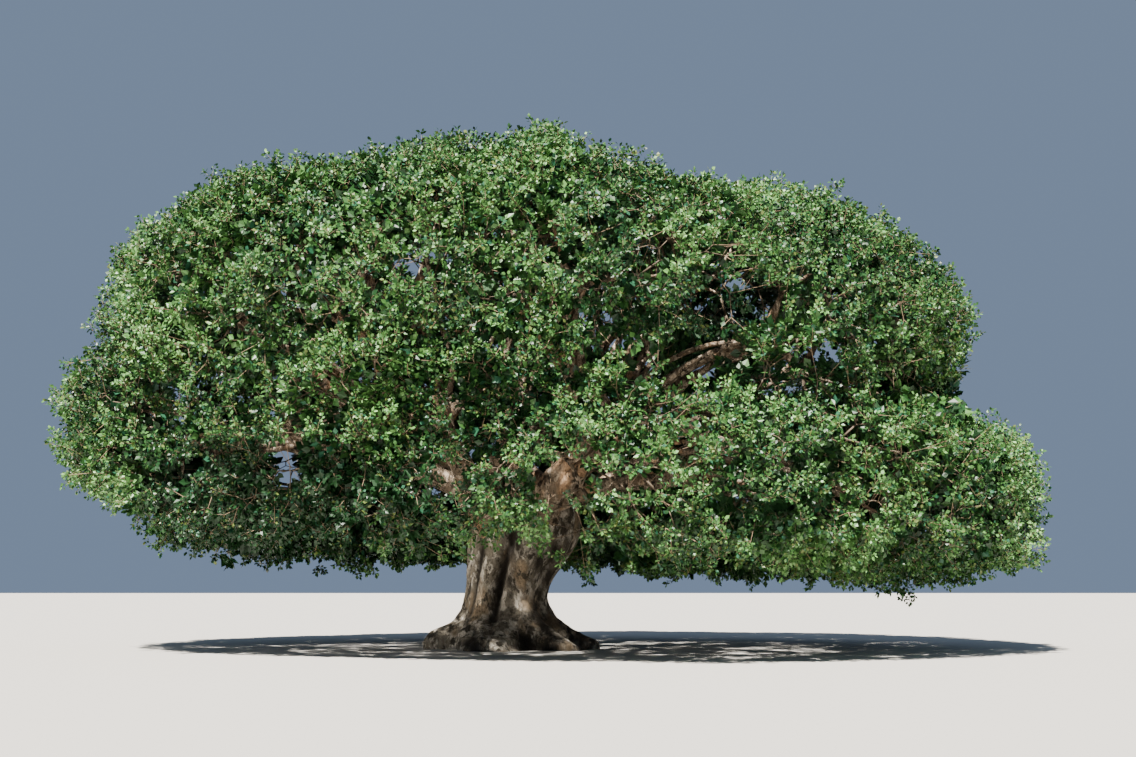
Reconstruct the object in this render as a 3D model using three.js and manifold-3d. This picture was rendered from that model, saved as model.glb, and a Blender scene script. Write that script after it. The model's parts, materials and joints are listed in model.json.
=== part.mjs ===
// A wide old sycamore fig tree: a fluted trunk with a root flare, boughs that fork low, and a broad
// crown made of separate masses of foliage. Millimetres, +Z up. The origin is the middle of the flat
// cut at ground level, and the photographed side faces -Y.

import * as THREE from "three";
import { mergeVertices } from "three/addons/utils/BufferGeometryUtils.js";
import Module from "manifold-3d";

const wasm = await Module();
wasm.setup();

// Clearance between solids that rest on each other.
const SEAT_GAP = 0.3;

// Trunk: radii and heights. It widens again above the waist, towards the fork.
const TRUNK_WAIST_RADIUS = 1400;
const TRUNK_WAIST_HEIGHT = 1900;
const TRUNK_FORK_SWELL = 440;
const TRUNK_SHOULDER_HEIGHT = 4000;
const TRUNK_CAP_HEIGHT = 950;
const TRUNK_SWAY = -310;
const TRUNK_SWAY_HEIGHT = 2900;
const ROOT_FLARE = 1230;
const ROOT_FLARE_HEIGHT = 900;
const ROOT_LOBE_DEPTH = 0.13;
const FLUTES = 7;
const FLUTE_DEPTH = 0.05;
const FLUTE_TWIST = 0.00012;
const OVALNESS = 0.03;
const TRUNK_SIDES = 42;
const TRUNK_RINGS = 13;
const TRUNK_RING_CROWDING = 1.15;
const TRUNK_CAP_RINGS = 4;

// The deep groove that parts the trunk's two columns on the photographed side.
const GROOVE_ANGLE = THREE.MathUtils.degToRad(-102);
const GROOVE_WIDTH = 0.15;
const GROOVE_DEPTH_LOW = 300;
const GROOVE_DEPTH_HIGH = 430;
const GROOVE_FOOT = 300;

// Upper dome of the crown: reach from the trunk's axis to each side, and heights.
const DOME_RIGHT = 15900;
const DOME_LEFT = 14900;
const DOME_DEPTH = 14300;
const DOME_WAIST = 10300;
const DOME_RISE_LEFT = 6850;
const DOME_RISE_RIGHT = 6050;
const DOME_STEP_FROM = 1500;
const DOME_STEP_TO = 7500;
const DOME_SQUARENESS = 2.7;

// Low skirt of the crown: it reaches furthest to the right and hangs higher on the left.
const SKIRT_RIGHT = 18800;
const SKIRT_LEFT = 16400;
const SKIRT_DEPTH = 14500;
const SKIRT_HEIGHT = 5150;
const SKIRT_LEFT_LIFT = 2600;
const SKIRT_DEPTH_LIFT = 500;
const SKIRT_HALF_HEIGHT = 3350;

// How the crown is parted into masses: tiers from the skirt to the top.
const SKIRT_MASSES = 10;
const MID_MASSES = 8;
const HIGH_MASSES = 6;
const MASS_HALF_DEPTH = 4200;
const SKIRT_SPREAD = 0.46;
const MID_SPREAD = 0.56;
const HIGH_SPREAD = 0.8;
const MID_FOOT = 6700;
const HIGH_FOOT = 10300;
const HIGH_RADIUS = 6000;
const TOP_FOOT = 12400;
const TOP_HALF_WIDTH = 3600;
const TOP_AZIMUTH = 1.1;
const TOP_RADIUS = 700;
const SKIRT_TURN = -0.22;
const MID_TURN = 0.32;
const HIGH_TURN = 0.87;
const AZIMUTH_UNEVENNESS = 0.1;
const HEIGHT_UNEVENNESS = 260;
const MASS_SQUARENESS = 2.9;
const MASS_GAP = 160;

// Tilt, in degrees, at which a bough comes into a mass of each tier.
const SKIRT_ENTRY_TILT = 20;
const MID_ENTRY_TILT = -15;
const HIGH_ENTRY_TILT = -65;
const TOP_ENTRY_TILT = -90;
const ENTRY_TILT_STEP = 8;
const ENTRY_TILT_TRIES = 6;
const ENTRY_ROOM = 1.12;
const ENTRY_DEPTH = 0.98;

// Boughs: the main ones fork from the trunk, and the rest fork from them.
const MAIN_BOUGHS = 4;
const BOUGH_START_HEIGHT = 3250;
const BOUGH_START_OFFSET = 830;
const BOUGH_START_TURN = -0.36;
const MAIN_BOUGH_SPREAD = 0.26;
const BOUGH_TIP_RADIUS = 240;
const BOUGH_UNEVENNESS = 0.06;
// Where the side boughs of each tier leave a main bough, as a share of its length.
const FORK_PLACE = { low: 0.2, mid: 0.36, high: 0.46 };
const FORK_PLACE_STEP = 0.035;

// How many bough tips' worth of section each kind of bough has at its foot.
const MAIN_BOUGH_LOAD = 9;
const LEADER_LOAD = 3;
const SIDE_BOUGH_LOAD = 1.8;
const BOUGH_TAPER = 0.75;
const BOUGH_HANDLE = 0.34;
const MAIN_BOUGH_SIDES = 9;
const MAIN_BOUGH_RINGS = 9;
const BOUGH_SIDES = 6;
const BOUGH_RINGS = 5;

// Foliage: twigs, and leaves that each stand for a spray of real ones.
const TIPS_PER_MASS = 42;
const TWIG_TIP_RADIUS = 42;
const TWIG_SIDES = 3;
const STEM_TAPER = 0.8;
const FORK_SHARE = 0.3;
const CORE_SHARE_OPEN = 0.84;
const CORE_SHARE_WALLED = 0.95;
const CORE_ROUGHNESS = 0.07;
const LEAF_LENGTH = 1650;
const LEAF_WIDTH_SHARE = 0.62;
const LEAF_THICKNESS_SHARE = 0.11;
const LEAF_WIDEST = 0.42;
const LEAF_OUTWARD = 0.5;
const LEAF_DROOP = 0.25;
const LEAF_FURTHEST = 0.985;
const ENTRY_CLEAR_COSINE = 0.8;
const OPEN_SHARE = 0.93;

const GOLDEN_ANGLE = Math.PI * (3 - Math.sqrt(5));
const UP = new THREE.Vector3(0, 0, 1);

const bark = new THREE.MeshStandardMaterial({ color: 0x7d6f58, roughness: 0.9, metalness: 0 });
const foliage = new THREE.MeshStandardMaterial({ color: 0x52663f, roughness: 0.7, metalness: 0 });

// A fixed number between 0 and 1 for each seed, the same on every run.
function chance(seed) {
  const wave = Math.sin(seed * 12.9898) * 43758.5453;
  return wave - Math.floor(wave);
}

// A fixed number between plus and minus the spread for each seed.
function uneven(seed, spread) {
  return spread * (2 * chance(seed) - 1);
}

function smoothStep(from, to, value) {
  const t = Math.min(1, Math.max(0, (value - from) / (to - from)));
  return t * t * (3 - 2 * t);
}

function along(start, direction, distance) {
  return start.clone().addScaledVector(direction, distance);
}

// A manifold solid from points and triangles that face out.
function solidFrom(points, triangles) {
  const vertProperties = new Float32Array(points.flatMap((point) => [point.x, point.y, point.z]));
  const triVerts = new Uint32Array(triangles.flat());
  return new wasm.Manifold(new wasm.Mesh({ numProp: 3, vertProperties, triVerts }));
}

// The same, for triangles whose side is not known yet: they are turned round if they face in.
function solidFacingOut(points, triangles) {
  const made = solidFrom(points, triangles);
  return made.volume() > 0 ? made : solidFrom(points, triangles.map(([a, b, c]) => [a, c, b]));
}

function largestPiece(solid) {
  const pieces = solid.decompose();
  return pieces.reduce((best, piece) => (piece.volume() > best.volume() ? piece : best));
}

function meshFrom(name, solid, material) {
  const { vertProperties, triVerts } = solid.getMesh();
  const geometry = new THREE.BufferGeometry();
  geometry.setAttribute("position", new THREE.BufferAttribute(new Float32Array(vertProperties), 3));
  geometry.setIndex(new THREE.BufferAttribute(new Uint32Array(triVerts), 1));
  geometry.computeVertexNormals();
  const mesh = new THREE.Mesh(geometry, material);
  mesh.name = name;
  return mesh;
}

// Rings of equal point counts, joined side by side and closed with a fan at each end.
function closedRings(rings) {
  const sides = rings[0].length;
  const points = rings.flat();
  const triangles = [];
  for (let ring = 0; ring < rings.length - 1; ring++) {
    for (let side = 0; side < sides; side++) {
      const a = ring * sides + side;
      const b = ring * sides + ((side + 1) % sides);
      triangles.push([a, b, b + sides], [a, b + sides, a + sides]);
    }
  }
  const last = (rings.length - 1) * sides;
  for (let side = 1; side < sides - 1; side++) {
    triangles.push([0, side + 1, side], [last, last + side, last + side + 1]);
  }
  return { points, triangles };
}

// The trunk's axis sways to the left at its waist and leans to the right where it forks.
function trunkCentre(height) {
  return new THREE.Vector3(TRUNK_SWAY * Math.sin((Math.PI * height) / TRUNK_SWAY_HEIGHT), 0, height);
}

// Radius of the trunk: its waist, the root flare below and the swelling to the fork above, with
// flutes that turn into root lobes near the ground, and the groove between its two columns.
function trunkRadius(angle, height) {
  const flare = Math.exp(-((height / ROOT_FLARE_HEIGHT) ** 2));
  const swell = TRUNK_FORK_SWELL * smoothStep(TRUNK_WAIST_HEIGHT, TRUNK_SHOULDER_HEIGHT, height);
  const round = TRUNK_WAIST_RADIUS + ROOT_FLARE * flare + swell;
  const twisted = angle + 0.22 * Math.sin(2 * angle + 0.6) + FLUTE_TWIST * height;
  const depth = FLUTE_DEPTH + ROOT_LOBE_DEPTH * flare;
  const flutes = depth * Math.cos(FLUTES * twisted + 0.8) + OVALNESS * Math.cos(3 * angle - 1.1);
  const turn = Math.atan2(Math.sin(angle - GROOVE_ANGLE), Math.cos(angle - GROOVE_ANGLE));
  const rise = smoothStep(GROOVE_FOOT, TRUNK_WAIST_HEIGHT, height);
  const cut = rise * THREE.MathUtils.lerp(GROOVE_DEPTH_LOW, GROOVE_DEPTH_HIGH, rise);
  return round * (1 + flutes) - cut * Math.exp(-((turn / GROOVE_WIDTH) ** 2));
}

function trunkRing(height, share) {
  const centre = trunkCentre(height);
  const ring = [];
  for (let side = 0; side < TRUNK_SIDES; side++) {
    const angle = GROOVE_ANGLE + (2 * Math.PI * side) / TRUNK_SIDES;
    const radius = share * trunkRadius(angle, Math.min(height, TRUNK_SHOULDER_HEIGHT));
    const outward = new THREE.Vector3(Math.cos(angle), Math.sin(angle), 0);
    ring.push(along(centre, outward, radius));
  }
  return ring;
}

// The trunk from its flat cut at the ground to a rounded top that the main boughs stand on.
function trunkRings() {
  const rings = [];
  for (let step = 0; step <= TRUNK_RINGS; step++) {
    rings.push(trunkRing(TRUNK_SHOULDER_HEIGHT * (step / TRUNK_RINGS) ** TRUNK_RING_CROWDING, 1));
  }
  for (let step = 1; step <= TRUNK_CAP_RINGS; step++) {
    const rise = (step / (TRUNK_CAP_RINGS + 0.4)) * (Math.PI / 2);
    const height = TRUNK_SHOULDER_HEIGHT + TRUNK_CAP_HEIGHT * Math.sin(rise);
    rings.push(trunkRing(height, Math.cos(rise)));
  }
  return rings;
}

// A solid swollen by the seat gap: each point moves out along the mean of its faces' normals.
function swollen({ points, triangles }) {
  const normals = points.map(() => new THREE.Vector3());
  for (const [a, b, c] of triangles) {
    const one = points[b].clone().sub(points[a]);
    const two = points[c].clone().sub(points[a]);
    const normal = one.cross(two).normalize();
    normals[a].add(normal);
    normals[b].add(normal);
    normals[c].add(normal);
  }
  const moved = points.map((point, index) => along(point, normals[index].normalize(), 1.2 * SEAT_GAP));
  return solidFrom(moved, triangles);
}

// Reach of an oval plan with a reach of its own to the right, to the left and in depth.
function planReach(azimuth, right, left, depth) {
  const across = Math.cos(azimuth) > 0 ? right : left;
  return 1 / Math.hypot(Math.cos(azimuth) / across, Math.sin(azimuth) / depth);
}

// Height of the dome above a point: higher on the left than on the right.
function domeTop(x, share) {
  const step = smoothStep(DOME_STEP_FROM, DOME_STEP_TO, x);
  const rise = THREE.MathUtils.lerp(DOME_RISE_LEFT, DOME_RISE_RIGHT, step);
  return DOME_WAIST + rise * (1 - share ** DOME_SQUARENESS) ** (1 / DOME_SQUARENESS);
}

// A mass of foliage: its middle, its half sizes outward, sideways and up, and the tilt at which its
// bough would best come in from the inside of the crown.
function makeMass(azimuth, radius, height, half, entryTilt) {
  const outward = new THREE.Vector3(Math.cos(azimuth), Math.sin(azimuth), 0);
  const sideways = new THREE.Vector3(-Math.sin(azimuth), Math.cos(azimuth), 0);
  const centre = along(new THREE.Vector3(), outward, radius).setZ(height);
  return { azimuth, outward, sideways, centre, half, entryTilt, walls: [] };
}

function skirtMass(index) {
  const onAxis = index % (SKIRT_MASSES / 2) === 0;
  const shift = onAxis ? 0 : SKIRT_TURN + uneven(index + 0.5, AZIMUTH_UNEVENNESS);
  const azimuth = (2 * Math.PI * (index + shift)) / SKIRT_MASSES;
  const radius = planReach(azimuth, SKIRT_RIGHT, SKIRT_LEFT, SKIRT_DEPTH) - MASS_HALF_DEPTH;
  const leftness = Math.max(0, -Math.cos(azimuth)) ** 4;
  const lift = SKIRT_LEFT_LIFT * leftness + SKIRT_DEPTH_LIFT * Math.abs(Math.sin(azimuth));
  const half = [MASS_HALF_DEPTH, SKIRT_SPREAD * radius, SKIRT_HALF_HEIGHT];
  const height = SKIRT_HEIGHT + lift + uneven(index + 40.5, HEIGHT_UNEVENNESS);
  return makeMass(azimuth, radius, height, half, SKIRT_ENTRY_TILT);
}

function midMass(index) {
  const azimuth = (2 * Math.PI * (index + MID_TURN + uneven(index + 20.5, AZIMUTH_UNEVENNESS))) / MID_MASSES;
  const reach = planReach(azimuth, DOME_RIGHT, DOME_LEFT, DOME_DEPTH);
  const radius = reach - MASS_HALF_DEPTH;
  const top = domeTop(radius * Math.cos(azimuth), radius / reach);
  const half = [MASS_HALF_DEPTH, MID_SPREAD * radius, (top - MID_FOOT) / 2];
  return makeMass(azimuth, radius, (top + MID_FOOT) / 2, half, MID_ENTRY_TILT);
}

function highMass(index) {
  const azimuth = (2 * Math.PI * (index + HIGH_TURN)) / HIGH_MASSES;
  const reach = planReach(azimuth, DOME_RIGHT, DOME_LEFT, DOME_DEPTH);
  const top = domeTop(HIGH_RADIUS * Math.cos(azimuth), HIGH_RADIUS / reach);
  const half = [MASS_HALF_DEPTH, HIGH_SPREAD * HIGH_RADIUS, (top - HIGH_FOOT) / 2];
  return makeMass(azimuth, HIGH_RADIUS, (top + HIGH_FOOT) / 2, half, HIGH_ENTRY_TILT);
}

function topMass() {
  const top = domeTop(0, 0);
  const half = [TOP_HALF_WIDTH, TOP_HALF_WIDTH, (top - TOP_FOOT) / 2];
  return makeMass(TOP_AZIMUTH, TOP_RADIUS, (top + TOP_FOOT) / 2, half, TOP_ENTRY_TILT);
}

// How far a mass reaches from its centre before its neighbours are thought of.
function freeReach(mass, direction) {
  const parts = [
    direction.dot(mass.outward) / mass.half[0],
    direction.dot(mass.sideways) / mass.half[1],
    direction.z / mass.half[2],
  ];
  const sum = parts.reduce((total, part) => total + Math.abs(part) ** MASS_SQUARENESS, 0);
  return sum ** (-1 / MASS_SQUARENESS);
}

// How far it is to the nearest flat wall that a neighbour puts up.
function walledReach(mass, direction) {
  let nearest = Infinity;
  for (const wall of mass.walls) {
    const facing = direction.dot(wall.towards);
    if (facing > 0) {
      nearest = Math.min(nearest, wall.distance / facing);
    }
  }
  return nearest;
}

function reachOf(mass, direction) {
  return Math.min(freeReach(mass, direction), walledReach(mass, direction));
}

function holds(mass, point) {
  const offset = point.clone().sub(mass.centre);
  const distance = offset.length();
  return distance < 1 || distance <= reachOf(mass, offset.normalize());
}

// Two neighbours share the room between their centres in proportion to their own reaches.
function raiseWalls(masses) {
  for (const mass of masses) {
    for (const other of masses) {
      if (other === mass) {
        continue;
      }
      const towards = other.centre.clone().sub(mass.centre);
      const apart = towards.length();
      towards.normalize();
      const mine = freeReach(mass, towards);
      const theirs = freeReach(other, towards.clone().negate());
      mass.walls.push({ towards, distance: (apart * mine) / (mine + theirs) - MASS_GAP / 2 });
    }
  }
}

// The side on which a bough enters a mass: inward, at the tilt nearest to the wanted one where no
// neighbour stands in the way.
function openEntry(mass) {
  const ways = [];
  for (let turn = 0; turn <= ENTRY_TILT_TRIES * ENTRY_TILT_STEP; turn += ENTRY_TILT_STEP) {
    for (const tilt of [mass.entryTilt + turn, mass.entryTilt - turn]) {
      const angle = THREE.MathUtils.degToRad(tilt);
      ways.push(mass.outward.clone().multiplyScalar(-Math.cos(angle)).addScaledVector(UP, Math.sin(angle)));
    }
  }
  return ways.find((way) => walledReach(mass, way) > ENTRY_ROOM * freeReach(mass, way)) ?? ways[0];
}

// A cubic curve from a start, leaving along one direction, to an end reached along another.
function boughCurve(start, leaving, end, arriving) {
  const length = start.distanceTo(end);
  const one = along(start, leaving, BOUGH_HANDLE * length);
  const two = along(end, arriving, -BOUGH_HANDLE * length);
  return new THREE.CubicBezierCurve3(start, one, two, end);
}

// One tapering limb along a curve. Its last ring is square to the curve's end.
function boughRings(bough) {
  const { curve, startRadius, endRadius, sides, steps, seed } = bough;
  const frames = curve.computeFrenetFrames(steps, false);
  const rings = [];
  for (let step = 0; step <= steps; step++) {
    const share = step / steps;
    const centre = curve.getPointAt(share);
    const radius = startRadius + (endRadius - startRadius) * share ** BOUGH_TAPER;
    const ring = [];
    for (let side = 0; side < sides; side++) {
      const angle = (2 * Math.PI * side) / sides;
      const swell = step < steps ? 1 + uneven(seed + 17 * step + 3.1 * side, BOUGH_UNEVENNESS) : 1;
      const spoke = frames.normals[step].clone().multiplyScalar(Math.cos(angle));
      spoke.addScaledVector(frames.binormals[step], Math.sin(angle));
      ring.push(along(centre, spoke, radius * swell));
    }
    rings.push(ring);
  }
  return rings;
}

function entryPoint(mass) {
  return along(mass.centre, mass.entry, ENTRY_DEPTH * freeReach(mass, mass.entry));
}

function turnBetween(one, two) {
  return Math.abs(Math.atan2(Math.sin(one - two), Math.cos(one - two)));
}

function makeBough(mass, start, leaving, carried, sides, steps, seed) {
  const arriving = mass.entry.clone().negate();
  const curve = boughCurve(start, leaving, entryPoint(mass), arriving);
  const endRadius = BOUGH_TIP_RADIUS;
  const startRadius = endRadius * Math.sqrt(carried);
  return { mass, curve, startRadius, endRadius, sides, steps, seed, children: 0 };
}

// Main boughs end in every other middle mass, and a leader in the top mass. Every other mass has
// a bough that leaves the main bough nearest to it in azimuth.
function layBoughs(masses) {
  const mids = masses.filter((mass) => mass.tier === "mid");
  const mains = [];
  for (let index = 0; index < MAIN_BOUGHS; index++) {
    const mass = mids[(2 * index + MID_MASSES - 1) % MID_MASSES];
    const outward = mass.outward.clone().applyAxisAngle(UP, BOUGH_START_TURN);
    const start = along(trunkCentre(BOUGH_START_HEIGHT), outward, BOUGH_START_OFFSET);
    const leaving = UP.clone().addScaledVector(outward, MAIN_BOUGH_SPREAD).normalize();
    mains.push(makeBough(mass, start, leaving, MAIN_BOUGH_LOAD, MAIN_BOUGH_SIDES, MAIN_BOUGH_RINGS, index));
  }
  const top = masses.find((mass) => mass.tier === "top");
  const rising = UP.clone().addScaledVector(top.outward, -MAIN_BOUGH_SPREAD).normalize();
  const foot = trunkCentre(BOUGH_START_HEIGHT);
  const leader = makeBough(top, foot, rising, LEADER_LOAD, BOUGH_SIDES, MAIN_BOUGH_RINGS, MAIN_BOUGHS);
  const boughs = [...mains, leader];
  const served = new Set(boughs.map((bough) => bough.mass));
  masses.forEach((mass, index) => {
    if (served.has(mass)) {
      return;
    }
    const turn = (bough) => turnBetween(bough.mass.azimuth, mass.azimuth);
    const parent = mains.reduce((best, bough) => (turn(bough) < turn(best) ? bough : best));
    const share = FORK_PLACE[mass.tier] + FORK_PLACE_STEP * parent.children;
    parent.children += 1;
    const start = parent.curve.getPointAt(share);
    const straight = entryPoint(mass).sub(start).normalize();
    const leaving = parent.curve.getTangentAt(share).multiplyScalar(0.45).add(straight).normalize();
    boughs.push(makeBough(mass, start, leaving, SIDE_BOUGH_LOAD, BOUGH_SIDES, BOUGH_RINGS, 10 + index));
  });
  return boughs;
}

// Twigs fork by one rule: a twig that feeds several tips runs part-way to their middle, and there
// its tips are parted in two across their widest spread. Its section carries the sum of its tips'.
function growTwigs(start, tips, twigs, leafTwigs) {
  if (tips.length === 1) {
    leafTwigs.push({ start, tip: tips[0] });
    return;
  }
  const box = new THREE.Box3().setFromPoints(tips.map((tip) => tip.point));
  const spread = box.getSize(new THREE.Vector3());
  const axis = ["x", "y", "z"].reduce((best, name) => (spread[name] > spread[best] ? name : best));
  const sorted = [...tips].sort((one, two) => one.point[axis] - two.point[axis]);
  const middle = tips.reduce((sum, tip) => sum.add(tip.point), new THREE.Vector3());
  middle.divideScalar(tips.length);
  const fork = start.clone().lerp(middle, FORK_SHARE);
  twigs.push({ start, end: fork, carried: tips.length });
  const half = Math.ceil(sorted.length / 2);
  growTwigs(fork, sorted.slice(0, half), twigs, leafTwigs);
  growTwigs(fork, sorted.slice(half), twigs, leafTwigs);
}

function ringAround(centre, side, rise, radius, sides) {
  const ring = [];
  for (let index = 0; index < sides; index++) {
    const angle = Math.PI / 2 + (2 * Math.PI * index) / sides;
    const point = along(centre, side, radius * Math.cos(angle));
    ring.push(point.addScaledVector(rise, radius * Math.sin(angle)));
  }
  return ring;
}

// A three-sided twig between two forks.
function twigSolid({ start, end, carried }) {
  const direction = end.clone().sub(start).normalize();
  const side = new THREE.Vector3(0.3, 0.5, 0.8).cross(direction).normalize();
  const rise = side.clone().cross(direction).normalize();
  const radius = TWIG_TIP_RADIUS * Math.sqrt(carried);
  const foot = along(start, direction, -radius / 2);
  const head = along(end, direction, radius / 2);
  const rings = [
    ringAround(foot, side, rise, radius, TWIG_SIDES),
    ringAround(head, side, rise, 0.9 * radius, TWIG_SIDES),
  ];
  const { points, triangles } = closedRings(rings);
  return solidFacingOut(points, triangles);
}

// The last twig and its leaf as one body: a three-sided twig that opens into a blade of eight
// faces. The blade's axis leans away from the crown's face and droops.
function leafBody({ start, tip }) {
  const { point, axis, normal, length } = tip;
  const side = axis.clone().cross(normal).normalize();
  const neck = along(point, axis, -length);
  const twigWay = neck.clone().sub(start).normalize();
  const bend = twigWay.clone().add(axis).normalize();
  const footRise = side.clone().cross(twigWay).normalize();
  const footSide = twigWay.clone().cross(footRise).normalize();
  const neckRise = side.clone().cross(bend).normalize();
  const foot = ringAround(start, footSide, footRise, TWIG_TIP_RADIUS, TWIG_SIDES);
  const throat = ringAround(neck, side, neckRise, 0.8 * TWIG_TIP_RADIUS, TWIG_SIDES);
  const widest = along(neck, axis, LEAF_WIDEST * length);
  const halfWidth = (LEAF_WIDTH_SHARE * length) / 2;
  const halfThickness = (LEAF_THICKNESS_SHARE * length) / 2;
  const blade = [
    along(widest, normal, halfThickness),
    along(widest, side, -halfWidth),
    along(widest, normal, -halfThickness),
    along(widest, side, halfWidth),
  ];
  const points = [...foot, ...throat, ...blade, point];
  const triangles = [
    [0, 2, 1],
    [0, 1, 4], [0, 4, 3],
    [1, 2, 5], [1, 5, 4],
    [2, 0, 3], [2, 3, 5],
    [3, 7, 6], [3, 4, 7], [4, 8, 7], [4, 5, 8], [5, 9, 8], [5, 3, 9], [3, 6, 9],
    [6, 7, 10], [7, 8, 10], [8, 9, 10], [9, 6, 10],
  ];
  return { points, triangles };
}

// Tips spread evenly over the mass by the golden angle. Those that face a neighbour or the bough
// are left out, and so is a leaf that would leave the mass's own room.
function layTips(mass, seed) {
  const tips = [];
  for (let index = 0; index < TIPS_PER_MASS; index++) {
    const rise = 1 - (2 * (index + 0.5)) / TIPS_PER_MASS;
    const turn = GOLDEN_ANGLE * index + seed;
    const flat = Math.sqrt(1 - rise * rise);
    const way = new THREE.Vector3(flat * Math.cos(turn), flat * Math.sin(turn), rise);
    const lone = seed * 100 + index;
    const shy = way.dot(mass.entry) > ENTRY_CLEAR_COSINE;
    if (shy || walledReach(mass, way) < OPEN_SHARE * freeReach(mass, way)) {
      continue;
    }
    const axis = new THREE.Vector3(
      uneven(lone + 0.1, 0.5),
      uneven(lone + 0.2, 0.5),
      uneven(lone + 0.3, 0.5) - LEAF_DROOP,
    );
    axis.addScaledVector(way, LEAF_OUTWARD).normalize();
    const side = axis.clone().cross(way).normalize();
    const normal = side.clone().cross(axis).normalize();
    const length = LEAF_LENGTH * (1 + uneven(lone + 0.4, 0.2));
    const far = LEAF_FURTHEST - 0.1 * chance(lone + 0.5);
    const point = along(mass.centre, way, far * reachOf(mass, way));
    tips.push({ point, axis, normal, length });
  }
  return tips;
}

// The dense heart of a mass: a rough rounded body inside its room, flat towards its neighbours.
function coreSolid(mass, seed) {
  const ball = new THREE.IcosahedronGeometry(1, 1);
  ball.deleteAttribute("normal");
  ball.deleteAttribute("uv");
  const merged = mergeVertices(ball, 1e-4);
  const position = merged.getAttribute("position");
  const points = [];
  for (let index = 0; index < position.count; index++) {
    const way = new THREE.Vector3().fromBufferAttribute(position, index).normalize();
    const rough = 1 - CORE_ROUGHNESS + uneven(seed + index * 1.7, CORE_ROUGHNESS);
    const open = CORE_SHARE_OPEN * freeReach(mass, way) * rough;
    const walled = CORE_SHARE_WALLED * walledReach(mass, way);
    points.push(along(mass.centre, way, Math.min(open, walled)));
  }
  const order = Array.from(merged.index.array);
  const triangles = [];
  for (let index = 0; index < order.length; index += 3) {
    triangles.push(order.slice(index, index + 3));
  }
  return solidFacingOut(points, triangles);
}

// The stem takes over from the bough's tip, with the same section, and runs into the core.
function stemSolid(bough) {
  const { curve, endRadius, sides, steps, mass } = bough;
  const frames = curve.computeFrenetFrames(steps, false);
  const way = curve.getTangentAt(1);
  const rings = [];
  const start = along(curve.getPointAt(1), way, SEAT_GAP);
  const end = mass.centre;
  for (const [centre, share] of [[start, 1], [end, STEM_TAPER]]) {
    const ring = [];
    for (let side = 0; side < sides; side++) {
      const angle = (2 * Math.PI * side) / sides;
      const spoke = frames.normals[steps].clone().multiplyScalar(Math.cos(angle));
      spoke.addScaledVector(frames.binormals[steps], Math.sin(angle));
      ring.push(along(centre, spoke, share * endRadius));
    }
    rings.push(ring);
  }
  const { points, triangles } = closedRings(rings);
  return solidFacingOut(points, triangles);
}

function foliageSolid(bough, seed, obstacles) {
  const { mass } = bough;
  const twigs = [];
  const leafTwigs = [];
  growTwigs(mass.centre, layTips(mass, seed), twigs, leafTwigs);
  const bodies = leafTwigs.map(leafBody).filter((body) => body.points.every((point) => holds(mass, point)));
  const solids = bodies.map(({ points, triangles }) => solidFacingOut(points, triangles));
  const free = solids.filter((solid) => obstacles.every((other) => solid.intersect(other).isEmpty()));
  const parts = [coreSolid(mass, seed), stemSolid(bough), ...twigs.map(twigSolid), ...free];
  return largestPiece(wasm.Manifold.union(parts));
}

const tiers = [
  { tier: "low", count: SKIRT_MASSES, make: skirtMass },
  { tier: "mid", count: MID_MASSES, make: midMass },
  { tier: "high", count: HIGH_MASSES, make: highMass },
  { tier: "top", count: 1, make: topMass },
];
const masses = [];
for (const { tier, count, make } of tiers) {
  for (let index = 0; index < count; index++) {
    const label = `${tier}_${String(index + 1).padStart(2, "0")}`;
    masses.push({ ...make(index), tier, label });
  }
}
raiseWalls(masses);
for (const mass of masses) {
  mass.entry = openEntry(mass);
}

const tree = new THREE.Group();
tree.name = "sycamore_fig_tree";

const trunkShape = closedRings(trunkRings());
tree.add(meshFrom("trunk", solidFrom(trunkShape.points, trunkShape.triangles), bark));

const boughs = layBoughs(masses);
const cutters = [swollen(trunkShape)];
const boughGroup = new THREE.Group();
for (const bough of boughs) {
  const shape = closedRings(boughRings(bough));
  const whole = solidFacingOut(shape.points, shape.triangles);
  const cut = wasm.Manifold.difference([whole, ...cutters]);
  boughGroup.add(meshFrom(`bough_${bough.mass.label}`, largestPiece(cut), bark));
  cutters.push(swollen(shape));
}
tree.add(boughGroup);

const foliageGroup = new THREE.Group();
boughs.forEach((bough, index) => {
  const others = cutters.filter((_, place) => place !== index + 1);
  const solid = foliageSolid(bough, index + 1, others);
  foliageGroup.add(meshFrom(`foliage_${bough.mass.label}`, solid, foliage));
});
tree.add(foliageGroup);

export default tree;
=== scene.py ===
# A wide old sycamore fig tree in leaf: a fluted trunk on a root flare, boughs that fork low, and a
# broad crown of twigs and leaves. Metres, +Z up; the photographed side faces -Y.

import json
import math

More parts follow.
